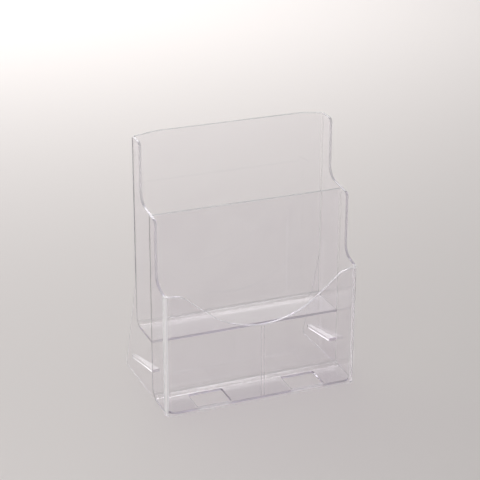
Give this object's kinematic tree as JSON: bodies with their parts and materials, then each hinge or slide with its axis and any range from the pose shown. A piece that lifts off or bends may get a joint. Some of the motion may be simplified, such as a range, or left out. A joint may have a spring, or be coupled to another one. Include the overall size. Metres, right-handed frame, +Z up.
{
  "type": "magazine rack",
  "caption": "Clear free-standing two-tier rack for A4 magazines: stepped sides, bent trays and a front panel with a wave-shaped top edge.",
  "frame": {"origin": "middle of the base, on the surface that the rack stands on", "axes": "+X across the rack to its right-hand side seen from the back, -Y out of the front, +Z up"},
  "size_m": [0.227, 0.1404, 0.2955],
  "materials": {
    "clear_plastic": "clear, polished, with a faint lilac tint in the edges"
  },
  "bodies": {
    "root": {"left_side_panel": "clear_plastic", "right_side_panel": "clear_plastic", "rear_tray": "clear_plastic", "front_tray": "clear_plastic", "front_panel": "clear_plastic", "left_corner_gusset": "clear_plastic", "right_corner_gusset": "clear_plastic", "left_guide_rib": "clear_plastic", "right_guide_rib": "clear_plastic"}
  },
  "joints": []
}
